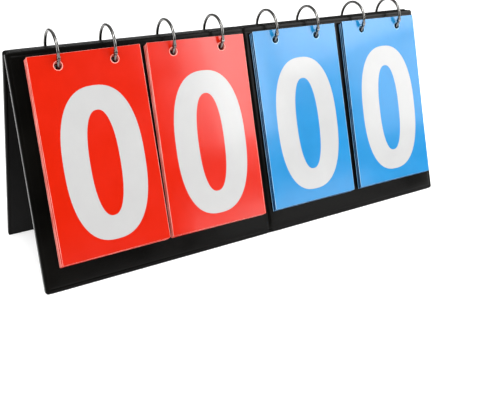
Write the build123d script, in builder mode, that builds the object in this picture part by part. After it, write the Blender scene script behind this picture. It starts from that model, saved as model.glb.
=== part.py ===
from build123d import *
from math import sin, cos, sqrt, radians, degrees, atan2
import os

# Tabletop flip scoreboard: a folding two-panel stand with four decks of
# numbered leaves on snap rings.
#
# Frame: millimetres, +X along the stand, front towards -Y, +Z up, origin on
# the table under the middle of the stand.

os.makedirs("parts", exist_ok=True)

# ---------------------------------------------------------------- dimensions
# stand
panel_width = 385.0          # along X
panel_height = 172.9         # down the slope, from the ridge
panel_thick = 5.0            # cover, boards and lining together
half_angle = 17.0            # each panel leans this far from the vertical
ridge_gap = 0.2              # from the middle plane to each panel's inner face
edge_radius = 1.2            # rounded outer edges of the cover
corner_radius = 2.2          # bottom corners of the panels
top_corner_radius = 2.2
foot_cut = 0.8               # height lost to the flat that stands on the table
skin = 0.9                   # cover's outer skin
lining_thick = 0.5
lining_inset = 2.5
board_inset = 4.0
board_clear = 0.05
crease_gap = 2.4             # between the two boards of a panel
crease_width = 1.8           # groove in the cover over that gap
crease_depth = 0.5
panel_hole_radius = 3.5
panel_hole_down = 16.2       # from the ridge, down the slope

# leaves
leaf_width = 85.8
leaf_height = 148.9
leaf_thick = 0.35
leaf_pitch = 0.40
leaf_count = 10
leaf_corner = 0.8
leaf_rear = 5.45             # rear face of the rearmost leaf, above the middle plane
leaf_hole_radius = 3.0
leaf_hole_from_top = 8.4
hole_spacing = 43.0
stack_follow = 0.75          # how far the stack's holes follow the ring's curve

# rings
ring_radius = 15.0           # centre line of the wire
wire_radius = 1.2
ring_drop = 2.2              # ring centre below the ridge line
knuckle_angle = 78.0         # from the ring's lowest point, towards the front
snap_angle = 255.0
snap_gap = 0.21
knuckle_radius = 1.35
tongue_half = 0.40
ear_inner = 0.45
ear_outer = 1.15
knuckle_clear = 1.6          # pin centre to each wire's end
pin_radius = 0.40
tongue_hole = 0.41
ear_hole = 0.45

# ridge strip
strip_thick = 0.6
strip_reach = 2.6

# decks: name, centre X, lean of the deck in its plane (degrees, + = right side low)
decks = [
    ("red_tens", -136.8, -0.44),
    ("red_ones", -45.6, 0.72),
    ("blue_tens", 49.9, 0.17),
    ("blue_ones", 144.8, 0.60),
]
# each leaf sits a little further left than the one in front of it
leaf_shift = [0.0, -0.15, -0.35, -0.30, -0.55, -0.50, -0.75, -0.70, -0.90, -0.95]
leaf_lean = [0.0, -0.10, 0.08, 0.15, -0.06, 0.12, -0.14, 0.04, 0.10, -0.08]

# ------------------------------------------------------------ derived places
th = radians(half_angle)
ridge_z = panel_height * cos(th) - ridge_gap * sin(th) - foot_cut
ridge = Vector(0, 0, ridge_z)
ring_z = ridge_z - ring_drop

front_down = Vector(0, -sin(th), -cos(th))
front_out = Vector(0, -cos(th), sin(th))
# local x along the panel, local y up the slope, local z out of the panel
front_plane = Plane(origin=ridge, x_dir=(1, 0, 0), z_dir=(0, -cos(th), sin(th)))
back_plane = Plane(origin=ridge, x_dir=(-1, 0, 0), z_dir=(0, cos(th), sin(th)))

# ring centre seen in the panel's own directions
ring_u = ring_drop * cos(th)
ring_n = -ring_drop * sin(th)


def wire_down(out):
    """Distance down the slope of the wire, at a height above the middle plane."""
    return ring_u + sqrt(ring_radius ** 2 - (out - ring_n) ** 2)


front_mid = leaf_rear + (leaf_count - 1) * leaf_pitch + leaf_thick / 2
front_hole_down = wire_down(front_mid)
back_mid = leaf_rear + leaf_thick / 2
back_hole_down = wire_down(back_mid)


def ring_point(angle, x=0.0):
    """Point of the wire's centre line; angle from the lowest point, forwards."""
    a = radians(angle)
    return Vector(x, -ring_radius * sin(a), ring_z - ring_radius * cos(a))


def ring_tangent(angle):
    a = radians(angle)
    return Vector(0, -cos(a), sin(a))


end_step = degrees(knuckle_clear / ring_radius)
snap_step = degrees(snap_gap / 2 / ring_radius)

hole_xs = [x + s * hole_spacing / 2 for _, x, _ in decks for s in (-1, 1)]


# -------------------------------------------------------------------- panels
outline_w = panel_width
outline_h = panel_height

for side, plane, sign in (("front", front_plane, 1), ("back", back_plane, -1)):
    holes = [(sign * x, -panel_hole_down) for x in hole_xs]
    mid = -outline_h / 2

    with BuildPart() as cover:
        with BuildSketch(plane.offset(ridge_gap)):
            with Locations((0, mid)):
                Rectangle(outline_w, outline_h)
        extrude(amount=panel_thick)
        # in-plane corners
        upright = cover.edges().filter_by(lambda e: abs(e.length - panel_thick) < 1e-3)
        low = upright.sort_by(Axis.Z)[:2]
        high = upright.sort_by(Axis.Z)[-2:]
        fillet(low, corner_radius)
        fillet(high, top_corner_radius)
        # rounded outer edge all round
        outer = cover.faces().sort_by(lambda f: -(f.center() - ridge).dot(plane.z_dir))[0]
        fillet(outer.edges(), edge_radius)
        # recess for the lining, pocket for the boards
        with BuildSketch(plane.offset(ridge_gap)):
            with Locations((0, mid)):
                RectangleRounded(outline_w - 2 * lining_inset, outline_h - 2 * lining_inset, 3.0)
        extrude(amount=lining_thick, mode=Mode.SUBTRACT)
        with BuildSketch(plane.offset(ridge_gap)):
            with Locations((0, mid)):
                Rectangle(outline_w - 2 * board_inset, outline_h - 2 * board_inset)
        extrude(amount=panel_thick - skin, mode=Mode.SUBTRACT)
        # centre crease in the outer face
        with BuildSketch(plane.offset(ridge_gap + panel_thick)):
            with Locations((0, mid)):
                Rectangle(crease_width, outline_h + 20)
        extrude(amount=-crease_depth, mode=Mode.SUBTRACT)
        # ring holes
        with BuildSketch(plane):
            with Locations(*holes):
                Circle(panel_hole_radius)
        extrude(amount=20, mode=Mode.SUBTRACT)
        # flat that stands on the table
        with BuildSketch(Plane.XY.offset(-20)):
            Rectangle(600, 600)
        extrude(amount=20, mode=Mode.SUBTRACT)
    cover.part.label = f"{side}_cover"
    export_step(cover.part, f"parts/{side}_cover.step")

    with BuildPart() as lining:
        with BuildSketch(plane.offset(ridge_gap)):
            with Locations((0, mid)):
                RectangleRounded(outline_w - 2 * lining_inset - 0.1, outline_h - 2 * lining_inset - 0.1, 2.95)
            with Locations(*holes):
                Circle(panel_hole_radius, mode=Mode.SUBTRACT)
        extrude(amount=lining_thick)
    lining.part.label = f"{side}_lining"
    export_step(lining.part, f"parts/{side}_lining.step")

    board_w = (outline_w - 2 * board_inset - 2 * board_clear - crease_gap) / 2
    board_h = outline_h - 2 * board_inset - 2 * board_clear
    board_x = crease_gap / 2 + board_w / 2
    with BuildPart() as boards:
        with BuildSketch(plane.offset(ridge_gap + lining_thick + board_clear)):
            with Locations((-board_x, mid), (board_x, mid)):
                Rectangle(board_w, board_h)
            with Locations(*holes):
                Circle(panel_hole_radius, mode=Mode.SUBTRACT)
        extrude(amount=panel_thick - skin - lining_thick - 2 * board_clear)
    boards.part.label = f"{side}_boards"
    export_step(boards.part, f"parts/{side}_boards.step")


# --------------------------------------------------------------- ridge strip
def panel_point(down, out, sign=1):
    return (sign * (-down * sin(th) - out * cos(th)), ridge_z - down * cos(th) + out * sin(th))


low_u, high_u = -0.05, -0.05 - strip_thick
strip_profile = [
    panel_point(low_u, strip_reach), (0, ridge_z + 0.05 / cos(th)),
    panel_point(low_u, strip_reach, -1), panel_point(high_u, strip_reach, -1),
    (0, ridge_z + (0.05 + strip_thick) / cos(th)), panel_point(high_u, strip_reach),
]
with BuildPart() as ridge_hinge:
    with BuildSketch(Plane(origin=(-(panel_width / 2 - 4), 0, 0), x_dir=(0, 1, 0), z_dir=(1, 0, 0))):
        with BuildLine():
            Polyline(*strip_profile, close=True)
        make_face()
    extrude(amount=panel_width - 8)
ridge_hinge.part.label = "ridge_hinge"
export_step(ridge_hinge.part, "parts/ridge_hinge.step")


# -------------------------------------------------------------------- leaves
for deck, x0, lean0 in decks:
    for k in range(leaf_count):
        out = leaf_rear + (leaf_count - 1 - k) * leaf_pitch
        wire_u = wire_down(out + leaf_thick / 2)
        hole_u = front_hole_down + (wire_u - front_hole_down) * stack_follow
        lean = radians(lean0 * (1.0 if k == 0 else 0.6) + leaf_lean[k])
        centre = ridge + front_down * hole_u + front_out * out + Vector(x0 + leaf_shift[k], 0, 0)
        right = Vector(1, 0, 0) * cos(lean) + front_down * sin(lean)
        leaf_plane = Plane(origin=centre, x_dir=right, z_dir=front_out)
        with BuildPart() as leaf:
            with BuildSketch(leaf_plane):
                with Locations((0, leaf_hole_from_top - leaf_height / 2)):
                    RectangleRounded(leaf_width, leaf_height, leaf_corner)
                with Locations((-hole_spacing / 2, 0), (hole_spacing / 2, 0)):
                    Circle(leaf_hole_radius, mode=Mode.SUBTRACT)
            extrude(amount=leaf_thick)
        leaf.part.label = f"{deck}_leaf_{k}"
        export_step(leaf.part, f"parts/{deck}_leaf_{k}.step")


# --------------------------------------------------------------------- rings
pin_at = ring_point(knuckle_angle)
tangent = ring_tangent(knuckle_angle)

for deck, x0, _ in decks:
    with BuildPart() as rings:
        for s in (-1, 1):
            x = x0 + s * hole_spacing / 2
            # lower half, from the snap round the bottom to the knuckle
            start = snap_angle + snap_step
            arc = 360 + knuckle_angle - end_step - start
            with BuildSketch(Plane(origin=ring_point(start, x), x_dir=(1, 0, 0), z_dir=ring_tangent(start))):
                Circle(wire_radius)
            revolve(axis=Axis((x, 0, ring_z), (-1, 0, 0)), revolution_arc=arc)
            # tongue of the knuckle
            knuckle = Plane(origin=(x, pin_at.Y, pin_at.Z), x_dir=tangent, z_dir=(1, 0, 0))
            with BuildSketch(knuckle.offset(-tongue_half)):
                Circle(knuckle_radius)
                with Locations((-1.2, 0)):
                    Rectangle(2.4, 2.0)
                Circle(tongue_hole, mode=Mode.SUBTRACT)
            extrude(amount=2 * tongue_half)
            # hinge pin
            with BuildSketch(knuckle.offset(-ear_outer + 0.05)):
                Circle(pin_radius)
            extrude(amount=2 * ear_outer - 0.1)
    rings.part.label = f"{deck}_rings"
    export_step(rings.part, f"parts/{deck}_rings.step")

    for s, where in ((-1, "left"), (1, "right")):
        x = x0 + s * hole_spacing / 2
        knuckle = Plane(origin=(x, pin_at.Y, pin_at.Z), x_dir=tangent, z_dir=(1, 0, 0))
        with BuildPart() as gate:
            start = knuckle_angle + end_step
            arc = snap_angle - snap_step - start
            with BuildSketch(Plane(origin=ring_point(start, x), x_dir=(1, 0, 0), z_dir=ring_tangent(start))):
                Circle(wire_radius)
            revolve(axis=Axis((x, 0, ring_z), (-1, 0, 0)), revolution_arc=arc)
            for low in (-ear_outer, ear_inner):
                with BuildSketch(knuckle.offset(low)):
                    Circle(knuckle_radius)
                    with Locations((1.2, 0)):
                        Rectangle(2.4, 2.0)
                    Circle(ear_hole, mode=Mode.SUBTRACT)
                extrude(amount=ear_outer - ear_inner)
        gate.part.label = f"{deck}_gate_{where}"
        export_step(gate.part, f"parts/{deck}_gate_{where}.step")

# ------------------------------------------------------- figures for the frame
hole_front = ridge + front_down * front_hole_down + front_out * front_mid
start_angle = degrees(atan2(-(hole_front.Y), ring_z - hole_front.Z))
hole_back_y = back_hole_down * sin(th) + back_mid * cos(th)
hole_back_z = ridge_z - back_hole_down * cos(th) + back_mid * sin(th)
end_angle = 360 - degrees(atan2(hole_back_y, ring_z - hole_back_z))
turn = end_angle - start_angle
swing = 360 - 2 * half_angle
print("ridge z", ridge_z, "ring z", ring_z)
print("leaf pivot", tuple(hole_front), "down", front_hole_down)
print("gate pin", tuple(pin_at))
print("ring turn", turn, "leaf pivot", swing - turn, "ratio", (swing - turn) / turn)
foot = panel_point(panel_height, ridge_gap)
print("foot inner edge", foot, "lowest height", foot[1])
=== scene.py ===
import math
import bpy
import bmesh
from mathutils import Vector, Matrix
from mathutils.geometry import delaunay_2d_cdt


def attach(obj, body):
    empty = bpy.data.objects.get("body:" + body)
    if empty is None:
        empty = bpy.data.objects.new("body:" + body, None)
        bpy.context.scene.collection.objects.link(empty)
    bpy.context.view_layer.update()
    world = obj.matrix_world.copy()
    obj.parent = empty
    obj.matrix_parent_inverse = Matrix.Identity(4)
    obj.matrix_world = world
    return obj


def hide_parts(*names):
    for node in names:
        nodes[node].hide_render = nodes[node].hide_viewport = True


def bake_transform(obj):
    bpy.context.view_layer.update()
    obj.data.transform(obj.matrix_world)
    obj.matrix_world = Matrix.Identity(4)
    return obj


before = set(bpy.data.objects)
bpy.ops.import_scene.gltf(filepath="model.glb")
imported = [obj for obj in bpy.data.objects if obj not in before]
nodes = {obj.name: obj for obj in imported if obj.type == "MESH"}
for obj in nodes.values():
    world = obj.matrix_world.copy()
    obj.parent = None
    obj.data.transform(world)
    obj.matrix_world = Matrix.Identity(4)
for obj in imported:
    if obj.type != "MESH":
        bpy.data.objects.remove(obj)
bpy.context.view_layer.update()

# ------------------------------------------------------------ shared geometry
MM = 0.001
TH = math.radians(17.0)
PANEL_W, PANEL_H, PANEL_T = 385.0, 172.9, 5.0
GAP = 0.2
RIDGE_Z = PANEL_H * math.cos(TH) - GAP * math.sin(TH) - 0.8
RING_R, RING_DROP = 15.0, 2.2
LEAF_W, LEAF_H, LEAF_T, PITCH, REAR = 85.8, 148.9, 0.35, 0.40, 5.45
HOLE_R, HOLE_TOP, HOLE_GAP, LEAF_CORNER = 3.0, 8.4, 43.0, 0.35
FOLLOW = 0.75
DOWN = Vector((0, -math.sin(TH), -math.cos(TH)))
OUT = Vector((0, -math.cos(TH), math.sin(TH)))
RIDGE = Vector((0, 0, RIDGE_Z))
DECKS = [("red_tens", -136.8, -0.44, "red"), ("red_ones", -45.6, 0.72, "red"),
         ("blue_tens", 49.9, 0.17, "blue"), ("blue_ones", 144.8, 0.60, "blue")]
SHIFT = [0.0, -0.15, -0.35, -0.30, -0.55, -0.50, -0.75, -0.70, -0.90, -0.95]
LEAN = [0.0, -0.10, 0.08, 0.15, -0.06, 0.12, -0.14, 0.04, 0.10, -0.08]


def wire_down(out):
    u = RING_DROP * math.cos(TH)
    n = -RING_DROP * math.sin(TH)
    return u + math.sqrt(RING_R ** 2 - (out - n) ** 2)


FRONT_HOLE = wire_down(REAR + 9 * PITCH + LEAF_T / 2)


# ------------------------------------------------------------------ materials
def new_mat(name):
    m = bpy.data.materials.new(name)
    m.use_nodes = True
    nt = m.node_tree
    return m, nt, nt.nodes["Principled BSDF"]


def node(nt, kind, **inputs):
    n = nt.nodes.new(kind)
    for k, v in inputs.items():
        n.inputs[k.replace("_", " ")].default_value = v
    return n


def coords(nt, scale=(1, 1, 1)):
    """Object coordinates in metres, which are the frame's own."""
    tc = nt.nodes.new("ShaderNodeTexCoord")
    mp = nt.nodes.new("ShaderNodeMapping")
    mp.inputs["Scale"].default_value = scale
    nt.links.new(tc.outputs["Object"], mp.inputs["Vector"])
    return mp.outputs["Vector"]


def ramp(nt, src, stops):
    r = nt.nodes.new("ShaderNodeValToRGB")
    cr = r.color_ramp
    cr.elements[0].position, cr.elements[0].color = stops[0]
    cr.elements[1].position, cr.elements[1].color = stops[1]
    for p, c in stops[2:]:
        e = cr.elements.new(p)
        e.color = c
    nt.links.new(src, r.inputs["Fac"])
    return r.outputs["Color"]


def grey(v, a=1.0):
    return (v, v, v, a)


def vinyl(name, base, rough_lo, rough_hi, grain=0.25):
    """Black vinyl: fine leather-like grain, faint rubbed patches and long soft waves over the board."""
    m, nt, b = new_mat(name)
    v = coords(nt)
    big = node(nt, "ShaderNodeTexNoise", Scale=22.0, Detail=3.0, Roughness=0.55)
    nt.links.new(v, big.inputs["Vector"])
    col = ramp(nt, big.outputs["Fac"], [(0.3, (base[0] * 0.75, base[1] * 0.75, base[2] * 0.75, 1)),
                                        (0.72, (base[0] * 1.5, base[1] * 1.45, base[2] * 1.35, 1))])
    nt.links.new(col, b.inputs["Base Color"])
    rg = ramp(nt, big.outputs["Fac"], [(0.25, grey(rough_lo)), (0.75, grey(rough_hi))])
    nt.links.new(rg, b.inputs["Roughness"])
    fine = node(nt, "ShaderNodeTexVoronoi", Scale=1500.0)
    fine.feature = "SMOOTH_F1"
    nt.links.new(v, fine.inputs["Vector"])
    pores = node(nt, "ShaderNodeTexNoise", Scale=2600.0, Detail=2.0)
    nt.links.new(v, pores.inputs["Vector"])
    wave = node(nt, "ShaderNodeTexNoise", Scale=17.0, Detail=2.0)
    nt.links.new(v, wave.inputs["Vector"])
    b1 = node(nt, "ShaderNodeBump", Strength=grain, Distance=0.00012)
    b2 = node(nt, "ShaderNodeBump", Strength=grain * 0.6, Distance=0.00005)
    b3 = node(nt, "ShaderNodeBump", Strength=0.55, Distance=0.0020)
    nt.links.new(wave.outputs["Fac"], b3.inputs["Height"])
    nt.links.new(fine.outputs["Distance"], b1.inputs["Height"])
    nt.links.new(pores.outputs["Fac"], b2.inputs["Height"])
    nt.links.new(b3.outputs["Normal"], b1.inputs["Normal"])
    nt.links.new(b1.outputs["Normal"], b2.inputs["Normal"])
    nt.links.new(b2.outputs["Normal"], b.inputs["Normal"])
    b.inputs["Specular IOR Level"].default_value = 0.075
    return m


def print_face(name, colour, streak, rough):
    """Printed plastic sheet: faint ink mottle, slightly wavy gloss."""
    m, nt, b = new_mat(name)
    v = coords(nt)
    ink = node(nt, "ShaderNodeTexNoise", Scale=60.0, Detail=4.0, Roughness=0.6)
    nt.links.new(v, ink.inputs["Vector"])
    col = ramp(nt, ink.outputs["Fac"], [(0.3, tuple(c * (1 - streak) for c in colour) + (1,)),
                                        (0.7, tuple(min(1.0, c * (1 + streak)) for c in colour) + (1,))])
    nt.links.new(col, b.inputs["Base Color"])
    smear = node(nt, "ShaderNodeTexNoise", Scale=30.0, Detail=3.0)
    nt.links.new(v, smear.inputs["Vector"])
    rg = ramp(nt, smear.outputs["Fac"], [(0.3, grey(rough * 0.85)), (0.75, grey(rough * 1.25))])
    nt.links.new(rg, b.inputs["Roughness"])
    warp = node(nt, "ShaderNodeTexNoise", Scale=13.0, Detail=2.0)
    v2 = coords(nt, (1.0, 0.6, 0.35))
    nt.links.new(v2, warp.inputs["Vector"])
    orange = node(nt, "ShaderNodeTexNoise", Scale=900.0, Detail=1.0)
    nt.links.new(v, orange.inputs["Vector"])
    b1 = node(nt, "ShaderNodeBump", Strength=0.5, Distance=0.0022)
    b2 = node(nt, "ShaderNodeBump", Strength=0.08, Distance=0.00004)
    nt.links.new(warp.outputs["Fac"], b1.inputs["Height"])
    nt.links.new(orange.outputs["Fac"], b2.inputs["Height"])
    nt.links.new(b1.outputs["Normal"], b2.inputs["Normal"])
    nt.links.new(b2.outputs["Normal"], b.inputs["Normal"])
    b.inputs["Specular IOR Level"].default_value = 0.32
    b.inputs["Coat Weight"].default_value = 0.14
    b.inputs["Coat Roughness"].default_value = 0.08
    return m


def cut_edge(name, light, dark):
    """Sheared edge of a printed sheet: fine uneven streaks, nearly matt."""
    m, nt, b = new_mat(name)
    v = coords(nt, (1.0, 1.0, 0.25))
    n = node(nt, "ShaderNodeTexNoise", Scale=260.0, Detail=3.0, Roughness=0.6)
    nt.links.new(v, n.inputs["Vector"])
    nt.links.new(ramp(nt, n.outputs["Fac"], [(0.35, dark + (1,)), (0.65, light + (1,))]), b.inputs["Base Color"])
    bump = node(nt, "ShaderNodeBump", Strength=0.3, Distance=0.00005)
    nt.links.new(n.outputs["Fac"], bump.inputs["Height"])
    nt.links.new(bump.outputs["Normal"], b.inputs["Normal"])
    b.inputs["Roughness"].default_value = 0.55
    b.inputs["Specular IOR Level"].default_value = 0.12
    return m


def metal(name):
    m, nt, b = new_mat(name)
    v = coords(nt)
    n = node(nt, "ShaderNodeTexNoise", Scale=420.0, Detail=3.0)
    nt.links.new(v, n.inputs["Vector"])
    col = ramp(nt, n.outputs["Fac"], [(0.3, (0.105, 0.103, 0.099, 1)), (0.7, (0.165, 0.161, 0.155, 1))])
    nt.links.new(col, b.inputs["Base Color"])
    rg = ramp(nt, n.outputs["Fac"], [(0.3, grey(0.04)), (0.8, grey(0.11))])
    nt.links.new(rg, b.inputs["Roughness"])
    b.inputs["Metallic"].default_value = 1.0
    return m


def board_mat():
    m, nt, b = new_mat("grey_board")
    v = coords(nt)
    n = node(nt, "ShaderNodeTexNoise", Scale=700.0, Detail=5.0)
    nt.links.new(v, n.inputs["Vector"])
    col = ramp(nt, n.outputs["Fac"], [(0.3, (0.30, 0.28, 0.25, 1)), (0.7, (0.42, 0.40, 0.36, 1))])
    nt.links.new(col, b.inputs["Base Color"])
    b.inputs["Roughness"].default_value = 0.9
    return m


COVER = vinyl("black_vinyl", (0.0013, 0.0012, 0.0010), 0.18, 0.28, grain=0.18)
LINING = vinyl("black_lining", (0.0040, 0.0040, 0.0041), 0.45, 0.60, grain=0.35)
STRIP = vinyl("black_ridge_vinyl", (0.0020, 0.0019, 0.0017), 0.28, 0.40)
BOARD = board_mat()
RED = print_face("red_print", (0.415, 0.0082, 0.0003), 0.03, 0.19)
BLUE = print_face("blue_print", (0.006, 0.155, 0.360), 0.04, 0.19)
WHITE = print_face("white_print", (0.340, 0.340, 0.338), 0.02, 0.21)
RED_EDGE = cut_edge("red_sheet_edge", (0.78, 0.42, 0.38), (0.62, 0.20, 0.16))
# dark cut-edge colour, used for the edges, hole rims and face band of the leaves not listed in PALE
RED_EDGE_DARK = cut_edge("red_sheet_edge_dark", (0.50, 0.030, 0.012), (0.30, 0.012, 0.004))
# rim material: the pale punched-hole rims, and also the painted highlight band round each red sheet's face
RED_RIM_AND_HIGHLIGHT = cut_edge("red_sheet_rim_and_highlight", (0.74, 0.34, 0.30), (0.66, 0.16, 0.12))
BLUE_EDGE = cut_edge("blue_sheet_edge", (0.34, 0.56, 0.72), (0.16, 0.36, 0.60))
BLUE_EDGE_DARK = cut_edge("blue_sheet_edge_dark", (0.003, 0.020, 0.080), (0.001, 0.006, 0.030))
# rim material: the pale punched-hole rims, and also the painted highlight band round each blue sheet's face
BLUE_RIM_AND_HIGHLIGHT = cut_edge("blue_sheet_rim_and_highlight", (0.34, 0.54, 0.70), (0.12, 0.34, 0.58))
NICKEL = metal("nickel")


# --------------------------------------------------------------------- digits
# Stroke outlines on a field 63 wide and 114 high, origin at its centre, y up.
def superoval(w, h, e, n=72):
    pts = []
    for i in range(n):
        t = 2 * math.pi * i / n
        c, s = math.cos(t), math.sin(t)
        pts.append((w / 2 * math.copysign(abs(c) ** (2 / e), c), h / 2 * math.copysign(abs(s) ** (2 / e), s)))
    return pts


def arc(cx, cy, rx, ry, a0, a1, n=20):
    return [(cx + rx * math.cos(math.radians(a0 + (a1 - a0) * i / n)),
             cy + ry * math.sin(math.radians(a0 + (a1 - a0) * i / n))) for i in range(n + 1)]


def thick(path, width):
    """Closed outline of a stroke of even width along an open path, with square ends."""
    left, right = [], []
    n = len(path)
    for i, (x, y) in enumerate(path):
        a = path[max(0, i - 1)]
        b = path[min(n - 1, i + 1)]
        dx, dy = b[0] - a[0], b[1] - a[1]
        L = math.hypot(dx, dy) or 1
        nx, ny = -dy / L * width / 2, dx / L * width / 2
        left.append((x + nx, y + ny))
        right.append((x - nx, y - ny))
    return left + right[::-1]


W, H, S = 63.0, 114.0, 19.0


def digit(d):
    """Outlines to fill and outlines to leave open."""
    if d == 0:
        return [superoval(W, H, 2.45)], [superoval(23.4, 78.5, 2.35)]
    if d == 1:
        return [[(-8, H / 2 - 1), (12, H / 2 - 1), (12, -H / 2), (-8, -H / 2), (-8, 33), (-24, 27), (-24, 42), (-14, 47)]], []
    if d == 2:
        p = arc(0, 25.5, 21.5, 22, 165, -28, 26) + [(-6, -24), (-20.5, -47.5)]
        return [thick(p, S), [(-31, -H / 2), (31, -H / 2), (31, -H / 2 + 18), (-31, -H / 2 + 18)]], []
    if d == 3:
        top = thick(arc(-1, 26, 20.5, 21.5, 160, -82, 24), S)
        low = thick(arc(-1, -24, 22.5, 23.5, 82, -160, 26), S)
        return [top, low, [(-10, -5.5), (8, -5.5), (8, 11.5), (-10, 11.5)]], []
    if d == 4:
        return [[(4, H / 2), (22, H / 2), (22, -H / 2), (4, -H / 2)],
                [(-31, -32), (31, -32), (31, -15), (-31, -15)],
                [(6, H / 2), (22, H / 2), (-14, -18), (-31, -18)]], []
    if d == 5:
        return [[(-27, H / 2), (27, H / 2), (27, H / 2 - 17), (-27, H / 2 - 17)],
                [(-27, H / 2), (-9.5, H / 2), (-9.5, 0), (-27, 0)],
                thick(arc(-1, -20.5, 22.5, 27, 142, -158, 30), S)], []
    if d == 6:
        return [superoval(W - 1, 70, 2.3)[:], thick(arc(6.5, 9, 28.5, 39.5, 66, 184, 24) + [(-22, -22)], S)], [superoval(23, 35, 2.2)]
    if d == 7:
        return [[(-30, H / 2), (30, H / 2), (30, H / 2 - 17.5), (-30, H / 2 - 17.5)],
                [(11, H / 2 - 16), (30, H / 2 - 16), (30, H / 2 - 20), (4, -H / 2), (-15.5, -H / 2), (10, H / 2 - 24)]], []
    if d == 8:
        return [superoval(58, 58, 2.2), superoval(W, 66, 2.25)], [superoval(20, 23, 2.1), superoval(24, 29, 2.1)]
    if d == 9:
        return [superoval(W - 1, 70, 2.3), thick([(-p[0], -p[1]) for p in arc(6.5, 9, 28.5, 39.5, 66, 184, 24) + [(-22, -22)]], S)], [superoval(23, 35, 2.2)]


PLACE = {  # where each outline's own centre goes on the digit's field
    6: ([(0, -22), (0, 0)], [(0, -22)]),
    8: ([(0, 28), (0, -24)], [(0, 28), (0, -24)]),
    9: ([(0, 22), (0, 0)], [(0, 22)]),
}


def digit_outlines(d):
    fill, leave = digit(d)
    pf, pl = PLACE.get(d, ([(0, 0)] * len(fill), [(0, 0)] * len(leave)))
    fill = [[(x + o[0], y + o[1]) for x, y in c] for c, o in zip(fill, pf)]
    leave = [[(x + o[0], y + o[1]) for x, y in c] for c, o in zip(leave, pl)]
    return fill, leave


def inside(pt, poly):
    x, y = pt
    c = False
    j = len(poly) - 1
    for i in range(len(poly)):
        xi, yi = poly[i]
        xj, yj = poly[j]
        if (yi > y) != (yj > y) and x < (xj - xi) * (y - yi) / (yj - yi) + xi:
            c = not c
        j = i
    return c


# --------------------------------------------------------------------- leaves
DIGIT_CX, DIGIT_CY = 1.2, -74.0      # in the leaf's frame: origin on the hole line


def leaf_border(side=0.0, end=0.0):
    r, pts = max(0.1, LEAF_CORNER - side), []
    x0, x1 = -LEAF_W / 2 + side, LEAF_W / 2 - side
    y1, y0 = HOLE_TOP - end, HOLE_TOP - LEAF_H + end
    for cx, cy, a in ((x1 - r, y1 - r, 0), (x0 + r, y1 - r, 90), (x0 + r, y0 + r, 180), (x1 - r, y0 + r, 270)):
        pts += arc(cx, cy, r, r, a, a + 90, 5)
    return pts


BORDER = leaf_border()
HIGHLIGHT_BAND_EDGE = leaf_border(0.22, 0.10)       # painted highlight: inner outline of a thin band round the sheet's face, in the hole-rim material, standing in for light caught along the cut edge
HOLE_RINGS = [arc(s * HOLE_GAP / 2, 0, HOLE_R, HOLE_R, 0, 360 * 39 / 40, 39) for s in (-1, 1)]
RIMS = [arc(s * HOLE_GAP / 2, 0, HOLE_R + 0.55, HOLE_R + 0.55, 0, 360 * 39 / 40, 39) for s in (-1, 1)]


def face_plan(d, mirrored):
    """Flat triangulation of a leaf face: (points, faces, kind of each face)."""
    fill, leave = digit_outlines(d)
    sx = -1 if mirrored else 1
    fill = [[(sx * x + DIGIT_CX * sx, y + DIGIT_CY) for x, y in c] for c in fill]
    leave = [[(sx * x + DIGIT_CX * sx, y + DIGIT_CY) for x, y in c] for c in leave]
    loops = [BORDER, HIGHLIGHT_BAND_EDGE] + HOLE_RINGS + RIMS + fill + leave
    verts, edges = [], []
    for lp in loops:
        s = len(verts)
        verts += [Vector(p) for p in lp]
        edges += [(s + i, s + (i + 1) % len(lp)) for i in range(len(lp))]
    co, _, faces, *_ = delaunay_2d_cdt(verts, edges, [], 1, 1e-5)
    kinds, kept = [], []
    for f in faces:
        c = sum((co[i] for i in f), Vector((0, 0))) / len(f)
        p = (c.x, c.y)
        if any(inside(p, h) for h in HOLE_RINGS):
            continue
        if any(inside(p, q) for q in fill) and not any(inside(p, q) for q in leave):
            kinds.append(1)
        # punched-hole rims, and the painted highlight band round the face's outer edge
        elif any(inside(p, q) for q in RIMS) or not inside(p, HIGHLIGHT_BAND_EDGE):
            kinds.append(2)
        else:
            kinds.append(0)
        kept.append(list(f))
    return co, kept, kinds


PLANS = {}


def plan(d, mirrored):
    if (d, mirrored) not in PLANS:
        PLANS[(d, mirrored)] = face_plan(d, mirrored)
    return PLANS[(d, mirrored)]


def make_leaf(name, front_digit, back_digit, origin, right, mats):
    """A printed sheet: digit on both faces, cut edge and two punched holes."""
    up = -DOWN * 1.0
    r = right
    u = OUT.cross(r)
    bm = bmesh.new()
    for z, (co, faces, kinds), flip in ((LEAF_T, plan(front_digit, False), False), (0.0, plan(back_digit, True), True)):
        vs = [bm.verts.new((origin + r * p.x + u * p.y + OUT * z) * MM) for p in co]
        for f, k in zip(faces, kinds):
            loop = [vs[i] for i in f]
            if flip:
                loop.reverse()
            try:
                face = bm.faces.new(loop)
            except ValueError:
                continue
            face.material_index = (0, 1, 2)[k]
    for lp, out in [(BORDER, True)] + [(h, False) for h in HOLE_RINGS]:
        top = [bm.verts.new((origin + r * x + u * y + OUT * LEAF_T) * MM) for x, y in lp]
        low = [bm.verts.new((origin + r * x + u * y) * MM) for x, y in lp]
        n = len(lp)
        for i in range(n):
            j = (i + 1) % n
            q = [low[i], low[j], top[j], top[i]]
            if not out:
                q.reverse()
            bm.faces.new(q).material_index = 3 if out else 2
    bmesh.ops.remove_doubles(bm, verts=bm.verts, dist=2e-6)
    loose = [v for v in bm.verts if not v.link_faces]
    bmesh.ops.delete(bm, geom=loose, context="VERTS")
    me = bpy.data.meshes.new(name)
    bm.to_mesh(me)
    bm.free()
    for m in mats:
        me.materials.append(m)
    o = bpy.data.objects.new(name, me)
    bpy.context.scene.collection.objects.link(o)
    return o


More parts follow.
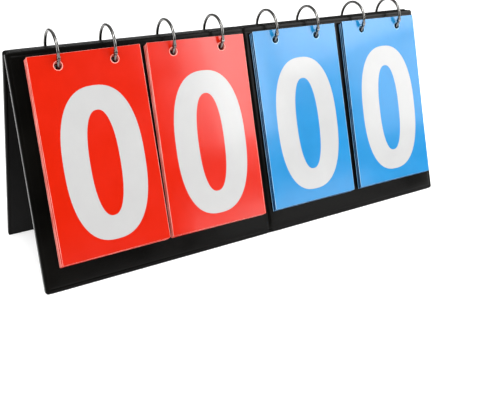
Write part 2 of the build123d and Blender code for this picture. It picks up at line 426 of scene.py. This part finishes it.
PALE = {"red": (0, 2, 4, 5, 8), "blue": (0, 4, 8)}      # leaves whose cut edge is pale, the others' is dark
for deck, x0, lean0, colour in DECKS:
    for k in range(10):
        pale = k in PALE[colour]
        if colour == "red":
            mats = [RED, WHITE] + ([RED_RIM_AND_HIGHLIGHT, RED_EDGE] if pale else [RED_EDGE_DARK] * 2)
        else:
            mats = [BLUE, WHITE] + ([BLUE_RIM_AND_HIGHLIGHT, BLUE_EDGE] if pale else [BLUE_EDGE_DARK] * 2)
        out = REAR + (9 - k) * PITCH
        wu = wire_down(out + LEAF_T / 2)
        hu = FRONT_HOLE + (wu - FRONT_HOLE) * FOLLOW
        lean = math.radians(lean0 * (1.0 if k == 0 else 0.6) + LEAN[k])
        origin = RIDGE + DOWN * hu + OUT * out + Vector((x0 + SHIFT[k], 0, 0))
        right = Vector((1, 0, 0)) * math.cos(lean) + DOWN * math.sin(lean)
        o = make_leaf(f"{deck}_sheet_{k}", k, (k + 1) % 10, origin, right, mats)
        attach(o, f"{deck}_front_leaf" if k == 0 else "stand")
        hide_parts(f"{deck}_leaf_{k}")

# --------------------------------------------------------------------- covers
HALF_W = PANEL_W / 2
HOLES = [x + s * HOLE_GAP / 2 for _, x, _, _ in DECKS for s in (-1, 1)]
HOLE_DOWN, PANEL_HOLE_R = 16.2, 3.5
FACE = GAP + PANEL_T


def swell(x, y):
    """How far the covering lies below its highest level: it dips towards the welded edge and at the crease."""
    side, low, top = HALF_W - abs(x), PANEL_H + y, -y
    a = 0.85 * max(0.0, 1 - side / 13) ** 2
    b = 0.42 * max(0.0, 1 - low / 9) ** 2
    c = 0.30 * max(0.0, 1 - top / 5) ** 2
    d = min(side, low, top)
    weld = 0.16 * math.exp(-((d - 3.3) / 0.42) ** 2)
    crease = 0.50 * math.exp(-(x / 1.15) ** 2) + 0.22 * math.exp(-(x / 4.5) ** 2)
    return math.sqrt(a * a + b * b + c * c) + weld + crease * (1 if d > 0.5 else 0.6)


def outline(inset, radius=None):
    """Rounded outline of the panel at an inset, always with the same number of points."""
    r = max(0.3, 2.2 - inset) if radius is None else radius
    ex, top, low = HALF_W - inset - r, -inset - r, -PANEL_H + inset + r
    xs = [-1 + 2 * i / 96 for i in range(1, 96)] + [v / 190.3 for v in (-2.7, -1.8, -1.15, -0.65, 0.6, 1.1, 1.7, 2.6)]
    xs = [v * ex for v in sorted(xs)]
    ys = [top + (low - top) * i / 44 for i in range(1, 44)]
    p = arc(ex, top, r, r, 0, 90, 5) + [(x, top + r) for x in reversed(xs)]
    p += arc(-ex, top, r, r, 90, 180, 5) + [(-ex - r, y) for y in ys]
    p += arc(-ex, low, r, r, 180, 270, 5) + [(x, low - r) for x in xs]
    p += arc(ex, low, r, r, 270, 360, 5) + [(ex + r, y) for y in reversed(ys)]
    return p


def flat_fill(outer, holes, extra=()):
    verts, edges = [], []
    for lp in [outer] + holes:
        s = len(verts)
        verts += [Vector(p) for p in lp]
        edges += [(s + i, s + (i + 1) % len(lp)) for i in range(len(lp))]
    verts += [Vector(p) for p in extra]
    co, _, faces, *_ = delaunay_2d_cdt(verts, edges, [], 1, 1e-5)
    kept = []
    for f in faces:
        c = sum((co[i] for i in f), Vector((0, 0))) / len(f)
        if inside((c.x, c.y), outer) and not any(inside((c.x, c.y), h) for h in holes):
            kept.append(list(f))
    return [(p.x, p.y) for p in co], kept


def cover_mesh(name, mirror):
    """Welded vinyl cover: swollen face with a weld line, rounded edges, lining recess and board pocket."""
    bm = bmesh.new()
    sy = -1 if mirror else 1

    def at(x, y, z):
        p = RIDGE + Vector((x, 0, 0)) - DOWN * y + OUT * z
        return Vector((p.x, p.y * sy, p.z)) * MM

    def skin(a, b):
        n = len(a)
        va, vb = [bm.verts.new(at(*p)) for p in a], [bm.verts.new(at(*p)) for p in b]
        for i in range(n):
            j = (i + 1) % n
            bm.faces.new([va[i], va[j], vb[j], vb[i]])

    def lay(co, faces, zf, up):
        vs = [bm.verts.new(at(x, y, zf(x, y))) for x, y in co]
        for f in faces:
            bm.faces.new([vs[i] for i in (f if up else reversed(f))])

    top = lambda x, y: FACE - swell(x, y)
    circles = [arc(x, -HOLE_DOWN, PANEL_HOLE_R, PANEL_HOLE_R, 0, 351, 39) for x in HOLES]
    # face: structured bands along the edge, then the field inside them
    bands = [1.2, 1.7, 2.2, 2.6, 2.9, 3.15, 3.4, 3.65, 3.95, 4.4, 5.2, 6.4, 8.0]
    loops = [outline(b) for b in bands]
    for a, b in zip(loops, loops[1:]):
        skin([(x, y, top(x, y)) for x, y in a], [(x, y, top(x, y)) for x, y in b])
    extra = [(x, y) for i in (9.6, 11.4, 13.4, 15.6) for x, y in outline(i, 0.3)[::2]]
    extra += [(x, -18 - 6.1 * j) for x in (-4.2, -2.6, -1.7, -1.1, -0.6, 0, 0.6, 1.1, 1.7, 2.6, 4.2) for j in range(23)]
    extra += [(-174 + 12 * i, -26 - 12 * j) for i in range(30) for j in range(11) if abs(-174 + 12 * i) > 5]
    extra = [p for p in extra if all(math.hypot(p[0] - x, p[1] + HOLE_DOWN) > PANEL_HOLE_R + 0.8 for x in HOLES)]
    lay(*flat_fill(loops[-1], circles, extra), top, True)
    # rounded outer edge, side wall, inner edge and rim
    ring = [(x, y, top(x, y)) for x, y in loops[0]]
    for s in range(1, 7):
        a = math.radians(15 * s)
        lp = outline(1.2 - 1.2 * math.sin(a))
        nxt = [(x, y, z0[2] - 1.2 * (1 - math.cos(a))) for (x, y), z0 in zip(lp, [(0, 0, top(*q)) for q in loops[0]])]
        skin(nxt, ring)
        ring = nxt
    for inset, z in ((0.0, GAP + 0.45), (0.13, GAP + 0.13), (0.45, GAP)):
        nxt = [(x, y, z) for x, y in outline(inset)]
        skin(nxt, ring)
        ring = nxt
    recess = [(x, y) for x, y in outline(2.5, 3.0)]
    w, h = HALF_W - 4.0, PANEL_H - 8.0
    pocket = [(w, -4.0), (-w, -4.0), (-w, -4.0 - h), (w, -4.0 - h)]
    lay(*flat_fill(outline(0.45), [recess]), lambda x, y: GAP, False)
    skin([(x, y, GAP) for x, y in recess], [(x, y, GAP + 0.5) for x, y in recess])
    lay(*flat_fill(recess, [pocket]), lambda x, y: GAP + 0.5, False)
    depth = FACE - 0.9
    skin([(x, y, GAP + 0.5) for x, y in pocket], [(x, y, depth) for x, y in pocket])
    lay(*flat_fill(pocket, circles), lambda x, y: depth, False)
    for c in circles:
        skin([(x, y, depth) for x, y in c], [(x, y, top(x, y)) for x, y in c])
    bmesh.ops.remove_doubles(bm, verts=bm.verts, dist=3e-6)
    # flat that stands on the table
    cut = bmesh.ops.bisect_plane(bm, geom=bm.verts[:] + bm.edges[:] + bm.faces[:], dist=1e-7,
                                 plane_co=(0, 0, 0), plane_no=(0, 0, -1), clear_outer=True)
    rim = [e for e in cut["geom_cut"] if isinstance(e, bmesh.types.BMEdge)]
    bmesh.ops.triangle_fill(bm, use_beauty=False, edges=rim)
    bmesh.ops.recalc_face_normals(bm, faces=bm.faces)
    for e in bm.edges:
        if len(e.link_faces) == 2 and e.calc_face_angle(0) > math.radians(38):
            e.smooth = False
    for f in bm.faces:
        f.smooth = True
    me = bpy.data.meshes.new(name)
    bm.to_mesh(me)
    bad = sum(1 for e in bm.edges if len(e.link_faces) != 2)
    bm.free()
    print(name, "faces", len(me.polygons), "open or shared edges", bad)
    me.materials.append(COVER)
    o = bpy.data.objects.new(name, me)
    bpy.context.scene.collection.objects.link(o)
    return o


for name, body, mirror in (("front", "stand", False), ("back", "back_panel", True)):
    o = cover_mesh(f"{name}_welded_cover", mirror)
    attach(o, body)
    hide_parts(f"{name}_cover")


# --------------------------------------------------------------- ridge strip
def strip_mesh():
    """The vinyl that joins both panels over the ridge, finely divided."""
    def level(y, lift):
        """Height of the strip's underside (lift 0) or upper side over the panels' top ends, which rise to the sides."""
        return RIDGE_Z + (0.05 + lift) / math.cos(TH) + math.sqrt(y * y + 0.09) * math.tan(TH) - 0.3 * math.tan(TH)

    hw, reach = HALF_W - 4.0, 2.45
    n = 28
    ys = [-reach + 2 * reach * i / n for i in range(n + 1)]
    low = [(y, level(y, 0.02)) for y in ys]
    high = [(y, level(y, 0.56)) for y in ys]
    end0 = [(-reach - 0.16, level(-reach - 0.16, 0.30))]
    end1 = [(reach + 0.16, level(reach + 0.16, 0.30))]
    loop = low + end1 + high[::-1] + end0
    bm = bmesh.new()
    cols = [-hw + 2 * hw * i / 96 for i in range(97)]
    rows = [[bm.verts.new(Vector((x, y, z)) * MM) for y, z in loop] for x in cols]
    m = len(loop)
    for a, b in zip(rows, rows[1:]):
        for i in range(m):
            j = (i + 1) % m
            bm.faces.new([a[i], a[j], b[j], b[i]])
    for row, turn in ((rows[0], False), (rows[-1], True)):
        for i in range(n):
            q = [row[i], row[i + 1], row[m - 2 - i - 1], row[m - 2 - i]]
            bm.faces.new(q[::-1] if turn else q)
        bm.faces.new([row[n], row[n + 1], row[n + 2]])
        bm.faces.new([row[m - 1], row[0], row[m - 2]])
    bmesh.ops.recalc_face_normals(bm, faces=bm.faces)
    for f in bm.faces:
        f.smooth = True
    for e in bm.edges:
        if len(e.link_faces) == 2 and e.calc_face_angle(0) > math.radians(50):
            e.smooth = False
    me = bpy.data.meshes.new("ridge_strip")
    bm.to_mesh(me)
    print("ridge_strip open or shared edges", sum(1 for e in bm.edges if len(e.link_faces) != 2))
    bm.free()
    me.materials.append(STRIP)
    o = bpy.data.objects.new("ridge_strip", me)
    bpy.context.scene.collection.objects.link(o)
    return o


strip = strip_mesh()
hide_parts("ridge_hinge")
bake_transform(strip)

# ---------------------------------------------------------- carried-over nodes
for n, m in (("front_cover", COVER), ("back_cover", COVER), ("front_lining", LINING), ("back_lining", LINING),
             ("front_boards", BOARD), ("back_boards", BOARD), ("ridge_hinge", STRIP)):
    nodes[n].data.materials.clear()
    nodes[n].data.materials.append(m)
for deck, *_ in DECKS:
    for n in (f"{deck}_rings", f"{deck}_gate_left", f"{deck}_gate_right"):
        nodes[n].data.materials.clear()
        nodes[n].data.materials.append(NICKEL)

# ------------------------------------------------------------- floor and light
bpy.ops.mesh.primitive_plane_add(size=80, location=(0, 0, 0))
floor = bpy.context.object
floor.name = "floor"
fm, fnt, fb = new_mat("floor_white")
fb.inputs["Base Color"].default_value = (0.96, 0.96, 0.96, 1)
fb.inputs["Emission Color"].default_value = (1, 1, 1, 1)
fb.inputs["Emission Strength"].default_value = 0.14
fb.inputs["Roughness"].default_value = 0.75
fb.inputs["Specular IOR Level"].default_value = 0.1
floor.data.materials.append(fm)

scene = bpy.context.scene
scene.view_settings.view_transform = "Standard"
world = bpy.data.worlds.new("studio")
scene.world = world
world.use_nodes = True
wt = world.node_tree
bg = wt.nodes["Background"]
bg.inputs["Strength"].default_value = 1.0
# studio: dim near the horizon, pale overhead
wtc = wt.nodes.new("ShaderNodeTexCoord")
wsep = wt.nodes.new("ShaderNodeSeparateXYZ")
wt.links.new(wtc.outputs["Generated"], wsep.inputs["Vector"])
wt.links.new(ramp(wt, wsep.outputs["Z"], [(0.05, grey(0.035)), (1.0, grey(0.75)), (0.35, grey(0.10)), (0.62, grey(0.50))]),
             bg.inputs["Color"])
# pale backdrop where the camera looks past the floor
pale_bg = wt.nodes.new("ShaderNodeBackground")
pale_bg.inputs["Color"].default_value = (1, 1, 1, 1)
rays = wt.nodes.new("ShaderNodeLightPath")
mixer = wt.nodes.new("ShaderNodeMixShader")
wt.links.new(rays.outputs["Is Camera Ray"], mixer.inputs["Fac"])
wt.links.new(bg.outputs["Background"], mixer.inputs[1])
wt.links.new(pale_bg.outputs["Background"], mixer.inputs[2])
wt.links.new(mixer.outputs["Shader"], wt.nodes["World Output"].inputs["Surface"])


def area(name, loc, aim, size, power, size_y=None):
    L = bpy.data.lights.new(name, "AREA")
    L.shape = "RECTANGLE"
    L.size = size
    L.size_y = size_y or size
    L.energy = power
    o = bpy.data.objects.new(name, L)
    scene.collection.objects.link(o)
    o.location = loc
    o.rotation_euler = (Vector(aim) - Vector(loc)).to_track_quat("-Z", "Y").to_euler()
    return o


def aim_at(azimuth, elevation, distance, centre=(0, 0, 0.09)):
    """Point seen from the part at an azimuth right of its front and an elevation."""
    a, e = math.radians(azimuth), math.radians(elevation)
    return (centre[0] + distance * math.sin(a) * math.cos(e),
            centre[1] - distance * math.cos(a) * math.cos(e),
            centre[2] + distance * math.sin(e))


sun = bpy.data.lights.new("key", "SUN")
sun.energy = 1.9
sun.angle = math.radians(50)
key = bpy.data.objects.new("key", sun)
scene.collection.objects.link(key)
key.rotation_euler = (-Vector(aim_at(-20, 58, 1.0, (0, 0, 0)))).to_track_quat("-Z", "Y").to_euler()
area("sheen_box", aim_at(52, 25, 1.3), (0, 0, 0.09), 0.66, 8.2, 0.46)
area("sheen_mid", aim_at(31, 20, 1.3), (0, 0, 0.09), 0.18, 2.6, 0.52)
area("sheen_low", aim_at(56, 9, 1.35), (0, 0, 0.09), 0.54, 1.6, 0.22)
area("border_strip", (0.72, -1.13, 0.070), (0.05, 0, 0.02), 0.50, 0.70, 0.10)
area("edge_box", aim_at(-80, 16, 1.3), (0, 0, 0.09), 0.62, 6.5, 0.7)
area("ring_left", aim_at(-38, 52, 1.2), (0, 0, 0.16), 0.20, 4.0)
area("ring_right", aim_at(66, 52, 1.2), (0, 0, 0.16), 0.20, 3.0)
area("back_box", aim_at(165, 30, 1.6), (0, 0, 0.09), 1.0, 6.0)

# --------------------------------------------------------------------- camera
F_PX, CX, CY = 662.2, 201.6, 147.2
AZ, EL, ROLL, DIST = math.radians(-29.50), math.radians(20.37), math.radians(-0.04), 0.5644
TARGET = Vector((-0.03496, 0, 0.06623))
back = Vector((math.sin(AZ) * math.cos(EL), -math.cos(AZ) * math.cos(EL), math.sin(EL)))
cd = bpy.data.cameras.new("camera")
cam = bpy.data.objects.new("camera", cd)
scene.collection.objects.link(cam)
scene.camera = cam
right = (-back).cross(Vector((0, 0, 1))).normalized()
up = right.cross(-back)
r2 = right * math.cos(ROLL) + up * math.sin(ROLL)
u2 = up * math.cos(ROLL) - right * math.sin(ROLL)
cam.matrix_world = Matrix((
    (r2.x, u2.x, back.x, TARGET.x + back.x * DIST),
    (r2.y, u2.y, back.y, TARGET.y + back.y * DIST),
    (r2.z, u2.z, back.z, TARGET.z + back.z * DIST),
    (0, 0, 0, 1)))
cd.sensor_fit = "HORIZONTAL"
cd.sensor_width = 36.0
cd.lens = F_PX * 36.0 / 482.0
cd.shift_x = (241.0 - CX) / 482.0
cd.shift_y = (CY - 200.0) / 482.0
cd.clip_start, cd.clip_end = 0.02, 30.0
